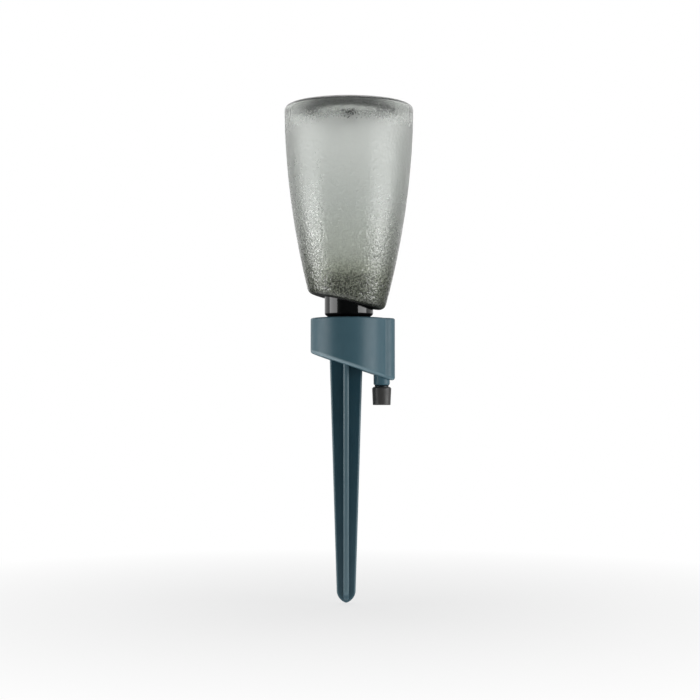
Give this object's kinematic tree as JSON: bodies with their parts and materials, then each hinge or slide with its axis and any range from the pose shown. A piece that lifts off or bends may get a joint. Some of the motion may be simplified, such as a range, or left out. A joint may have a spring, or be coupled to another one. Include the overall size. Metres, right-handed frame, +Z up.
{
  "type": "drip watering bottle",
  "caption": "Tapered smoky bottle standing mouth down in a sloped collar on a cross-shaped ground spike; a screw knob under the collar sets how fast water drips out.",
  "frame": {"origin": "on the spike's axis at the soil line", "axes": "+Z up along the spike and the bottle, +X from the spike towards the drip knob, the part is symmetric about the XZ plane"},
  "size_m": [0.0818, 0.0818, 0.3137],
  "materials": {
    "smoke_plastic": "clear smoky plastic with a fine pebbled skin",
    "gloss_black": "polished",
    "black_rubber": "matte",
    "slate_plastic": "satin blue-grey",
    "spike_plastic": "satin blue-grey",
    "knob_plastic": "satin dark grey",
    "dark_plastic": "satin"
  },
  "bodies": {
    "stake": {"collar_shell": "slate_plastic", "floor_plate": "slate_plastic", "spike": "spike_plastic", "drip_nozzle": "dark_plastic", "nozzle_washer": "black_rubber", "knob_ring": "black_rubber"},
    "fitting": {"neck_fitting": "gloss_black", "neck_gasket": "black_rubber", "spigot_ring": "black_rubber"},
    "washer": {"mouth_washer": "black_rubber"},
    "bottle": {"bottle": "smoke_plastic"},
    "vent": {"vent_plug": "black_rubber"},
    "needle": {"metering_needle": "dark_plastic"},
    "knob": {"flow_knob": "knob_plastic"}
  },
  "joints": [
    {"name": "bottle_lift", "type": "slide", "parent": "stake", "child": "fitting", "axis": [0, 0, 1], "range_m": [0, 0.04]},
    {"name": "bottle_rise", "type": "slide", "parent": "fitting", "child": "washer", "axis": [0, 0, 1], "range_m": [0, 0.0061]},
    {"name": "bottle_turn", "type": "hinge", "parent": "washer", "child": "bottle", "pos_m": [0.0017, 0, 0.091], "axis": [0, 0, 1], "range_deg": [0, 540]},
    {"name": "vent_pull", "type": "slide", "parent": "bottle", "child": "vent", "axis": [0, 0, 1], "range_m": [0, 0.015]},
    {"name": "needle_travel", "type": "slide", "parent": "stake", "child": "needle", "axis": [0, 0, 1], "range_m": [-0.0008, 0.0008]},
    {"name": "knob_turn", "type": "hinge", "parent": "needle", "child": "knob", "pos_m": [0.0224, 0, 0.0151], "axis": [0, 0, 1], "range_deg": [-244, 244]}
  ],
  "couplings": [
    {"joint": "bottle_rise", "follows": "bottle_turn", "m_per_rad": 0.00063662},
    {"joint": "knob_turn", "follows": "needle_travel", "rad_per_m": 5236}
  ]
}
